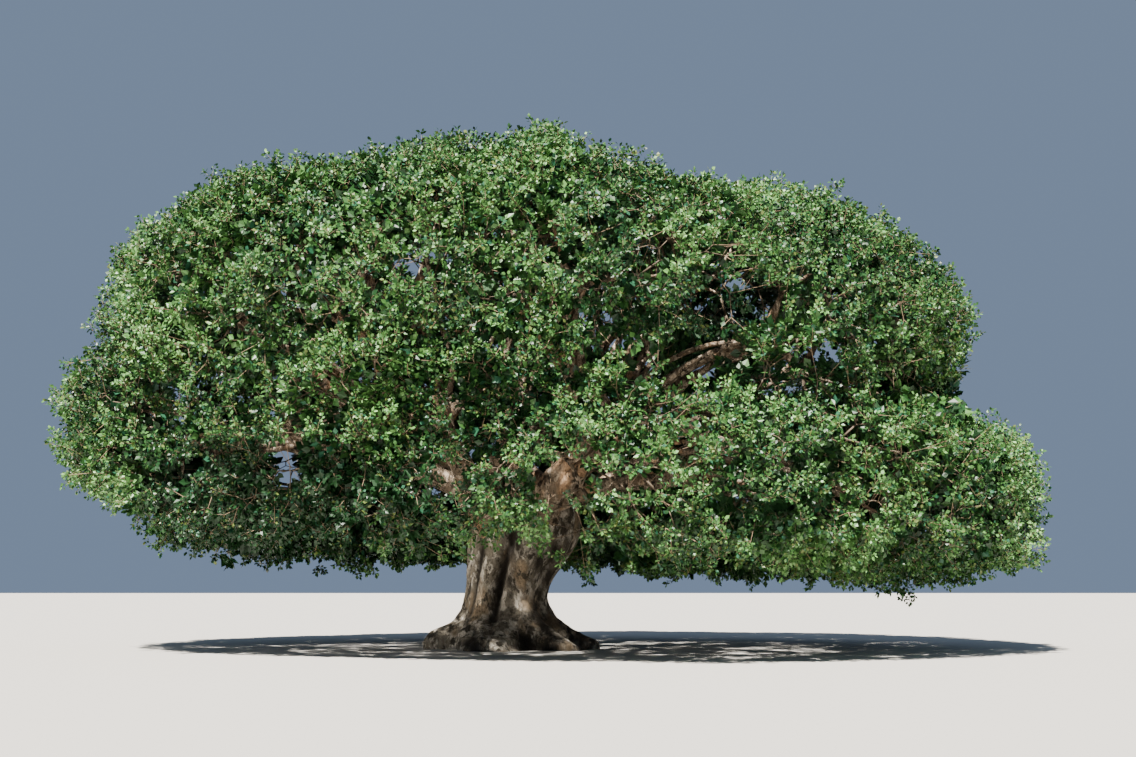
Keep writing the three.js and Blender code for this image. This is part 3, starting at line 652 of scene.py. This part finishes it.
def crown_reach(mass, way):
    """How far the crown goes on from a mass's middle along a way, found by halving."""
    near, far = np.zeros(len(way)), 1.25 * free_reach(mass, way)
    for _ in range(14):
        middle = (near + far) / 2
        inside = in_crown(centre[mass] + way * middle[:, None])
        near, far = np.where(inside, middle, near), np.where(inside, far, middle)
    return near


SKEW = np.array([0.31, 0.52, 0.11])


def square_to(way):
    """Two directions square to a way and to each other, from cross products that start with a skew one."""
    across = unit(np.cross(way, SKEW))
    return across, np.cross(way, across)


ASIDE = 0.03


def face_stretch(mass, way, reach):
    """Face area to a unit of solid angle: the reach squared, over the cosine between the way and the face's
    normal, which follows from the reach a little to two sides."""
    slopes = [(crown_reach(mass, unit(way + ASIDE * side)) / reach - 1) / ASIDE for side in square_to(way)]
    return reach**2 * np.sqrt(1 + slopes[0] ** 2 + slopes[1] ** 2)


# Each layer has a share of the way out to the crown's face, and a number of sprays to a square metre. The
# filling is two more layers, kept only where the crown would let too much light through.
GOLDEN = np.pi * (3 - np.sqrt(5))
LAYERS = ((0.99, 2.05), (0.9, 1.45), (0.8, 1.0), (0.69, 0.55), (0.55, 0.3))
FILLING = ((0.84, 2.6), (0.74, 2.2))
WIDEST_STRETCH = 80
order = {bough.mass: index + 1 for index, bough in enumerate(boughs)}
shells = [(mass, layer, *LAYERS[layer]) for mass in range(MASSES) for layer in range(len(LAYERS))]
shells += [(mass, len(LAYERS) + layer, *FILLING[layer]) for mass in range(MASSES) for layer in range(2)]
tip_mass, tip_way, tip_share, tip_layer = [], [], [], []
for mass, layer, share, density in shells:
    count = int(density * share * share * 4 * np.pi * WIDEST_STRETCH)
    index = np.arange(count)
    rise = 1 - 2 * (index + 0.5) / count
    turn = GOLDEN * index + order[mass] + 1.7 * layer
    level = np.sqrt(1 - rise * rise)
    tip_way.append(np.stack([level * np.cos(turn), level * np.sin(turn), rise], 1))
    tip_mass.append(np.full(count, mass))
    tip_share.append(np.full(count, share))
    tip_layer.append(np.full(count, layer))
tip_mass, tip_share, tip_way, tip_layer = map(np.concatenate, (tip_mass, tip_share, tip_way, tip_layer))
lone = np.arange(len(tip_mass)) * 1.37 + 5

# Tips whose way a neighbour's wall cuts short are dropped, and the others are thinned to the same number to
# a square metre of the crown's face, a few less towards the back.
outer, walled = crown_reach(tip_mass, tip_way), walled_reach(tip_mass, tip_way)
keep = walled > 0.75 * outer
behind = smooth_step(-5, 4, centre[tip_mass, 1] + tip_way[:, 1] * outer)
keep &= face_stretch(tip_mass, tip_way, outer) * (1 - 0.12 * behind) > WIDEST_STRETCH * chance(lone + 0.05)
tip_mass, tip_share, tip_way, tip_layer, lone, outer, walled, behind = (
    x[keep] for x in (tip_mass, tip_share, tip_way, tip_layer, lone, outer, walled, behind)
)
scatter = np.stack([uneven(lone + 0.1, 1), uneven(lone + 0.2, 1), uneven(lone + 0.3, 1)], 1)

# The face is dented by valleys and cracks, and one outer spray in seven strays past it.
reach = np.minimum(outer, walled)
face = centre[tip_mass] + tip_way * reach[:, None]
valley = (1 - np.abs(lumps(face, 2.0, 21))) ** 3
crack = (1 - np.abs(lumps(face, 0.8, 22))) ** 3
dent = 0.65 * valley + 0.45 * crack + 0.2 * chance(lone + 0.4)
stray = 0.3 * ((tip_layer == 0) & (chance(lone + 0.45) > 0.86))
tip = centre[tip_mass] + tip_way * (reach * tip_share + (stray - dent) * (walled > outer))[:, None]

# Sprays that the rest of the crown hides count as deep ones. Few are left on the inner sides in front and
# round the boughs, none in the hollow over the trunk, and small clearings break up the others.
HOLLOW_RADIUS, HOLLOW_TOP = 3.4, 8.0
inward = -(tip_way * outward[tip_mass]).sum(1)
hidden = in_crown(centre[tip_mass] + tip_way * (1.08 * outer)[:, None])
inside = hidden | (tip[:, 2] < HOLLOW_TOP)
tip_layer = np.where(hidden, np.maximum(tip_layer, 2), tip_layer)
at_bough = (tip_way * entry[tip_mass]).sum(1) > 0.72
keep = ~((inward > 0.3) & inside & (chance(lone + 0.5) > 0.15 + 0.85 * behind))
keep &= ~(at_bough & (chance(lone + 0.6) > 0.08))
deep = (tip_layer > 1) & ((behind > 0.5) | (tip_layer >= len(LAYERS)))
keep &= deep | (lumps(tip, 1.0, 23) + 0.5 * lumps(tip, 0.45, 24) > -0.8)
keep &= ~((np.hypot(tip[:, 0], tip[:, 1]) < HOLLOW_RADIUS) & (tip[:, 2] < HOLLOW_TOP))

# Gaps and windows: across and height where the line of sight meets the plane of the trunk, half width and
# half height, how far back it goes, and the share of the sprays that is left there.
THROUGH, TO_TRUNK = 99.0, -1.0
GAPS = (
    (-8.1, 6.6, 0.5, 1.3, THROUGH, 0.0),
    (-3.4, 13.6, 1.3, 0.6, THROUGH, 0.3),
    (7.5, 13.3, 0.8, 0.7, THROUGH, 0.55),
    (4.7, 9.95, 0.5, 0.4, THROUGH, 0.06),
    (6.6, 9.8, 0.6, 0.35, THROUGH, 0.06),
    (10.95, 10.3, 0.65, 0.5, THROUGH, 0.05),
    (5.2, 8.5, 0.5, 0.35, THROUGH, 0.2),
    (0.5, 6.25, 0.6, 0.4, THROUGH, 0.15),
    (2.4, 11.7, 0.8, 0.45, THROUGH, 0.35),
    (3.4, 10.7, 0.8, 0.35, THROUGH, 0.35),
    (5.4, 9.9, 1.3, 0.8, TO_TRUNK, 0.15),
    (7.3, 10.4, 1.4, 0.6, TO_TRUNK, 0.2),
    (7.9, 12.2, 1.8, 1.1, TO_TRUNK, 0.12),
    (1.75, 5.6, 1.0, 1.4, TO_TRUNK, 0.05),
    (1.75, 4.1, 0.85, 0.8, TO_TRUNK, 0.05),
)
eye = np.array(camera_object.location)
to_trunk = -eye[1] / (tip[:, 1] - eye[1])
seen_x = eye[0] + (tip[:, 0] - eye[0]) * to_trunk
seen_z = eye[2] + (tip[:, 2] - eye[2]) * to_trunk
for gap_x, gap_z, half_x, half_z, back, left in GAPS:
    inside = np.hypot((seen_x - gap_x) / half_x, (seen_z - gap_z) / half_z) < 1
    keep &= ~(inside & (tip[:, 1] < back) & (chance(lone + 0.7) > left))

# The filling stays in the middle of the front, round the back low down and up its middle, low on the right,
# and high on the left of the front.
middle = (np.abs(seen_x - 0.3) < 5.2) & (np.abs(seen_z - 9.3) < 3.1)
middle |= (np.abs(seen_x + 2.2) < 2.7) & (np.abs(seen_z - 5.9) < 1.2)
filled = middle & (tip[:, 1] < -2)
belt = (tip[:, 2] < 8.2) | ((np.abs(tip[:, 0] - 1) < 4.5) & (tip[:, 2] < 12))
filled |= (tip[:, 1] > 4) & (tip[:, 2] > 4.8) & belt
filled |= (tip[:, 0] > 8) & (tip[:, 1] > -6) & (np.abs(tip[:, 2] - 7.5) < 2.0)
filled |= (tip[:, 0] < 3) & (tip[:, 1] < -7) & (tip[:, 2] > 12)
keep &= (tip_layer < len(LAYERS)) | filled
tip, tip_mass, tip_way, tip_layer, lone, scatter, seen_x, seen_z, dent, behind = (
    x[keep] for x in (tip, tip_mass, tip_way, tip_layer, lone, scatter, seen_x, seen_z, dent, behind)
)

# Under the skirt the sprays hang by uneven lengths.
hang = (tip_mass < 10) * smooth_step(0.35, 0.9, -tip_way[:, 2])
tip[:, 2] += hang * (0.1 + uneven(lone + 0.8, 0.1) - 1.3 * np.maximum(0, lumps(tip, 1.1, 25)))

# The end of a spray leans out and up to the light, or sags where it hangs under the crown. At its neck it
# parts into short shoots, three on the crown's face, two just behind it and one deeper.
SHOOT = 0.32
lift = 0.5 - 0.55 * smooth_step(0.1, 0.9, -tip_way[:, 2])
spray_way = unit(0.55 * tip_way + lift[:, None] * UP + 0.5 * scatter)
neck = tip - SHOOT * spray_way
shoots = np.array([3, 2, 1])[np.minimum(tip_layer, 2)]
spray = np.repeat(np.arange(len(tip)), shoots)
first_shoot = np.cumsum(shoots) - shoots
turn = 2 * np.pi * ((np.arange(len(spray)) - first_shoot[spray]) / shoots[spray] + chance(lone[spray] + 0.15))
across, third = square_to(spray_way[spray])
spread = np.where(shoots[spray] > 1, 0.85, 0)[:, None] * (
    np.cos(turn)[:, None] * across + np.sin(turn)[:, None] * third
)
shoot_way = unit(spray_way[spray] + spread)
shoot_seed = lone[spray] + 0.317 * (np.arange(len(spray)) - first_shoot[spray])
shoot_length = SHOOT * (0.85 + 0.5 * chance(shoot_seed + 0.25))
shoot_end = neck[spray] + shoot_length[:, None] * shoot_way
shoot_layer, shoot_mass = tip_layer[spray], tip_mass[spray]


# Branches and twigs, of the same wood. They grow on from each bough's tip: a limb that feeds several sprays
# runs part of the way to their middle, and there its sprays part in two across their widest spread. A limb is
# as thick as all that it carries together, by section.
def parted(value, group):
    """Two halves of each group: 1 for the members above its middle one by value, else 0."""
    order = np.lexsort((value, group))
    count = np.bincount(group)
    first = np.cumsum(count) - count
    rank = np.empty(len(value), int)
    rank[order] = np.arange(len(value)) - first[group[order]]
    return (rank >= (count[group] + 1) // 2).astype(int)


pieces_of_growth = []
last_start = np.empty_like(neck)
group, members = tip_mass.copy(), np.arange(len(tip))
fork, heading = entry_point.copy(), -entry
fork_mass = np.arange(MASSES)
level = 0
while len(members):
    count = np.bincount(group, minlength=len(fork))
    alone = count[group] == 1
    last_start[members[alone]] = fork[group[alone]]
    members, group = members[~alone], group[~alone]
    if not len(members):
        break
    kept, group = np.unique(group, return_inverse=True)
    fork, heading, fork_mass, count = fork[kept], heading[kept], fork_mass[kept], count[kept]
    spot = neck[members]
    middle = np.stack([np.bincount(group, spot[:, k]) / count for k in range(3)], 1)
    new = fork + (0.3 if level < 3 else 0.45) * (middle - fork)
    pieces_of_growth.append((fork, new, heading, count, fork_mass, np.full(len(kept), level)))
    widest, narrowest = np.full((len(kept), 3), -1e9), np.full((len(kept), 3), 1e9)
    np.maximum.at(widest, group, spot)
    np.minimum.at(narrowest, group, spot)
    axis = np.argmax(widest - narrowest, axis=1)
    group = 2 * group + parted(spot[np.arange(len(spot)), axis[group]], group)
    heading = np.repeat(unit(new - fork), 2, axis=0)
    fork, fork_mass = np.repeat(new, 2, axis=0), np.repeat(fork_mass, 2)
    level += 1

start, end, heading, carried, twig_mass, growth_level = map(np.concatenate, zip(*pieces_of_growth))
in_mass = np.bincount(tip_mass, minlength=MASSES)
thick = 0.9 * BOUGH_TIP * np.sqrt(carried / in_mass[twig_mass])


def gnarled(paths, radii, sides, depth, size):
    """Round tubes whose skin goes in and out by lumps of a size, up to a share of the radius."""
    points, around, quads, triangles = limbs(paths, radii, sides)
    points = points + around * (radii[..., None] * depth * lumps(points, size, 9))[..., None]
    return points.reshape(-1, 3), quads, triangles


BRANCH_FROM = 30
stout = carried >= BRANCH_FROM
share = np.linspace(0, 1, 7)[:, None]
length = np.linalg.norm(end - start, axis=1)
pull = (0.4 * length)[:, None, None]
posts = (
    start[stout, None],
    start[stout, None] + pull[stout] * heading[stout, None],
    end[stout, None] - pull[stout] * unit(end - start)[stout, None],
    end[stout, None],
)
slim = np.array([0.66, 0.8, 0.9])[np.minimum(growth_level[stout], 2)]
radii = (slim * thick[stout])[:, None] * (1 - 0.25 * share[:, 0])
branch_parts = [gnarled(cubic(posts, share), radii, 8, 0.14, 0.3)]

# Some of the first branches leave their bough well before its tip and run beside it, as figs' limbs do.
bough_of = {bough.mass: bough for bough in boughs}
early = np.flatnonzero((growth_level == 1) | (growth_level == 2))
share = np.linspace(0, 1, 12)[:, None]
paths = []
for number, piece in enumerate(early):
    bough, leave = bough_of[twig_mass[piece]], 0.42 + 0.08 * (number % 4)
    foot, goal = bough.at(leave), end[piece]
    pull = 0.36 * np.linalg.norm(goal - foot)
    aside = uneven(np.array([0.1, 0.2, 0.3]) + number, 0.65)
    leaving = unit(bough.way(leave) + aside)
    posts = (foot, foot + pull * leaving, goal - pull * unit(goal - start[piece]), goal)
    paths.append(cubic(posts, share))
paths = np.stack(paths)
sway = np.stack([lumps(paths, 1.1, seed) for seed in (14, 15, 16)], -1)
paths = paths + 0.22 * sway * (share * (1 - share) * 4)
radii = thick[early, None] * (0.95 - 0.3 * share[:, 0])
branch_parts.append(gnarled(paths, radii, 10, 0.16, 0.4))
branches = mesh_piece("branches", *joined(branch_parts), [bough_bark_painted_sun])
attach(branches, "root")
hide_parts(*[f"foliage_{label}" for label in labels])

# Twigs, old brown ones inside and paler young ones at the ends, in eight parts of the crown.
TWIG_TINTS = {"old": (0.12, 0.088, 0.056), "young": (0.25, 0.17, 0.105)}
twig_skins = [plain_paint(f"{age} twig skin", tint, 0.75)[0] for age, tint in TWIG_TINTS.items()]
PARTS = {
    "low_right": [0, 1, 9],
    "low_back": [2, 3],
    "low_left": [4, 5, 6],
    "low_front": [7, 8],
    "mid_right": [10, 11, 16, 17],
    "mid_left": [12, 13, 14, 15],
    "upper_right": [18, 22, 23, 24],
    "upper_left": [19, 20, 21],
}
end_thick = np.maximum(0.9 * BOUGH_TIP / np.sqrt(in_mass[tip_mass]), 0.009)


def spikes(paths, radii):
    """Three-sided twigs that run along paths and are drawn to a point at their far end."""
    rings = paths.shape[1] - 1
    taper = np.linspace(1.1, 0.3, rings + 1)
    points, _, _, _ = limbs(paths, radii[:, None] * taper, 3)
    points = np.concatenate([points[:, :rings].reshape(len(paths), -1, 3), paths[:, -1:]], 1)
    side = 3 * (rings - 1) + np.arange(3)
    following = 3 * (rings - 1) + (np.arange(3) + 1) % 3
    caps = np.concatenate([np.stack([side, following, 0 * side + 3 * rings], -1), [[0, 2, 1]]])
    first = (np.arange(len(paths)) * (3 * rings + 1))[:, None, None]
    quads = first + ring_faces(rings, 3)[0]
    return points.reshape(-1, 3), quads.reshape(-1, 4), (first + caps).reshape(-1, 3)


for part, masses in PARTS.items():
    inner = ~stout & np.isin(twig_mass, masses)
    ends = np.stack([start[inner], end[inner]], 1)
    fat = thick[inner, None] * np.array([1.0, 0.85])
    points, _, quads, triangles = limbs(ends, fat, 3)
    outer = np.flatnonzero(np.isin(tip_mass, masses))
    bent = np.stack([last_start[outer], neck[outer], shoot_end[first_shoot[outer]]], 1)
    others = np.ones(len(spray), bool)
    others[first_shoot] = False
    others &= np.isin(shoot_mass, masses)
    plain = np.stack([neck[spray[others]], shoot_end[others]], 1)
    shapes = [
        (points.reshape(-1, 3), quads, triangles),
        spikes(bent, end_thick[outer]),
        spikes(plain, 0.8 * end_thick[spray[others]]),
    ]
    young = [np.repeat([0, 1, 1], [len(shape[kind]) for shape in shapes]) for kind in (1, 2)]
    twigs = mesh_piece(f"twigs_{part}", *joined(shapes), twig_skins, np.concatenate(young))
    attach(twigs, "root")
    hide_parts(*[f"foliage_{labels[mass]}" for mass in masses])


# Leaves. Broad blunt ovals, thick and a little glossy, on short stalks round the end of each shoot. They are
# laid round it by the golden angle, the oldest furthest down, and face the light. Their greens go from
# painted deep shade to painted bright sunlit tips, and the last two, blue-green and olive, are dealt to odd
# leaves.
LEAF_TINTS = (
    (0.008, 0.036, 0.009),
    (0.016, 0.060, 0.013),
    (0.032, 0.095, 0.020),
    (0.057, 0.150, 0.034),
    (0.100, 0.228, 0.058),
    (0.200, 0.380, 0.127),
    (0.018, 0.086, 0.042),
    (0.105, 0.145, 0.032),
)
BLUE_GREEN, OLIVE = 6, 7
leaf_paints = []
for number, tint in enumerate(LEAF_TINTS, 1):
    paint, leaf_shader = plain_paint(f"leaf green {number}", tint, 0.42)
    leaf_shader.inputs["Specular IOR Level"].default_value = 0.38
    leaf_paints.append(paint)

# Outline of a blade as shares of its length: along, across, and above its flat. The three youngest blades of
# an outer shoot have the full outline, and all others a plainer one.
OVAL = [(0.02, 0.19, 0.03), (0.5, 0.38, 0.05), (1, 0, -0.06), (0.5, -0.38, 0.05), (0.02, -0.19, 0.03)]
PLAIN = [(0, 0, 0), (0.45, 0.39, 0.05), (1, 0, -0.05), (0.45, -0.39, 0.05)]
FANS = {4: [(0, 1, 2), (0, 2, 3)], 5: [(0, 1, 4), (1, 3, 4), (1, 2, 3)]}

# Blades by how deep the shoot sits: which of its blades, how many it has, their length and outline. They are
# a little larger than life on the face, and larger behind it.
BLADES = (
    (0, np.arange(3), 14, 0.119, OVAL),
    (0, np.arange(3, 14), 14, 0.119, PLAIN),
    (1, np.arange(13), 13, 0.195, PLAIN),
    (2, np.arange(17), 17, 0.3, PLAIN),
)


def leaf_mesh(which, numbers, count, leaf_length, outline):
    """Blades for some shoots: each turned round its shoot by the golden angle, leaned out, drooped, and its
    face to the light. Gives the mesh, and the tint of each face."""
    outline, fan = np.array(outline), np.array(FANS[len(outline)])
    seed = shoot_seed[which, None] * 3.7 + numbers * 0.61
    shoot = shoot_way[which, None]
    across, third = square_to(shoot)
    turn = (GOLDEN * numbers + 6.283 * chance(shoot_seed[which, None]) + uneven(seed, 0.5))[..., None]
    lean = np.radians(30 + 62 * numbers / (count - 1) + uneven(seed + 0.2, 18))[..., None]
    way = shoot * np.cos(lean) + (across * np.cos(turn) + third * np.sin(turn)) * np.sin(lean)
    way = unit(way - 0.22 * UP)
    tilt = np.stack([uneven(seed + step, 1.15) for step in (0.4, 0.5, 0.6)], -1)
    light = tip_way[spray[which], None] + 0.6 * UP + tilt
    normal = unit(light - (light * way).sum(-1, keepdims=True) * way)
    side = np.cross(normal, way)
    size = leaf_length * grown[spray[which], None] * (0.75 + 0.5 * chance(seed + 0.3))
    size = size[..., None, None]
    back = shoot_length[which, None] * numbers / count
    base = shoot_end[which, None] - shoot * back[..., None] + 0.05 * way
    local = outline[:, :, None]
    points = base[:, :, None] + size * (
        local[:, 0] * way[:, :, None] + local[:, 1] * side[:, :, None] + local[:, 2] * normal[:, :, None]
    )
    blades = points.shape[0] * points.shape[1]
    faces = (np.arange(blades) * len(outline))[:, None, None] + fan
    # Each blade's tint: its spray's lightness, which carries painted shade, plus a jitter.
    lightness = spray_shade_and_tone[spray[which], None] + uneven(seed + 0.7, 0.38)
    tint = np.digitize(lightness, TINT_STEPS)
    odd = chance(seed + 0.8)
    tint = np.where(odd > 0.94, BLUE_GREEN, np.where(odd < 0.07 * (leaf_length < 0.15), OLIVE, tint))
    shape = (points.reshape(-1, 3), np.empty((0, 4)), faces.reshape(-1, 3))
    return shape, np.repeat(tint.ravel(), len(fan))


# Leaves are larger towards the back, and those behind the face stay small beside the window over the trunk.
grown = np.where(tip_layer < len(LAYERS), 1 + 0.35 * behind, 0.8 + 0.55 * behind)
beside = np.hypot((seen_x - 1.0) / 4.6, (seen_z - 5.4) / 2.4) < 1
grown = np.where(beside & (tip[:, 1] < 0) & (tip_layer > 0), 0.65, grown)

# Lightness of each spray: by chance and by drifts over a few metres, with painted shade that darkens it in
# the dents and further in, and in three places painted as shaded: across and height as for the gaps, half
# sizes, and how much darker.
TINT_STEPS = (0.12, 0.3, 0.5, 0.72, 0.95)
spray_shade_and_tone = 0.62 + uneven(lone + 0.9, 0.2) + 0.3 * lumps(tip, 2.2, 31)
spray_shade_and_tone = spray_shade_and_tone - 0.3 * dent - 0.14 * np.minimum(tip_layer, 2)
SHADES = ((-9.0, 5.2, 4.6, 2.7, 0.7), (-4.5, 4.9, 3.4, 1.7, 0.4), (7.9, 12.2, 2.2, 1.5, 0.6))
for shade_x, shade_z, half_x, half_z, dark in SHADES:
    off = ((seen_x - shade_x) / half_x) ** 2 + ((seen_z - shade_z) / half_z) ** 2
    spray_shade_and_tone = spray_shade_and_tone - dark * np.maximum(0, 1 - off**2)
depth = np.minimum(shoot_layer, 2)
for part, masses in PARTS.items():
    in_part = np.isin(shoot_mass, masses)
    blades = [leaf_mesh(np.flatnonzero(in_part & (depth == at)), *rest) for at, *rest in BLADES]
    shapes, paints = zip(*blades)
    paint = np.concatenate(paints)
    leaves = mesh_piece(f"leaves_{part}", *joined(shapes), leaf_paints, paint, smooth=False)
    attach(leaves, "root")
    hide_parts(*[f"foliage_{labels[mass]}" for mass in masses])
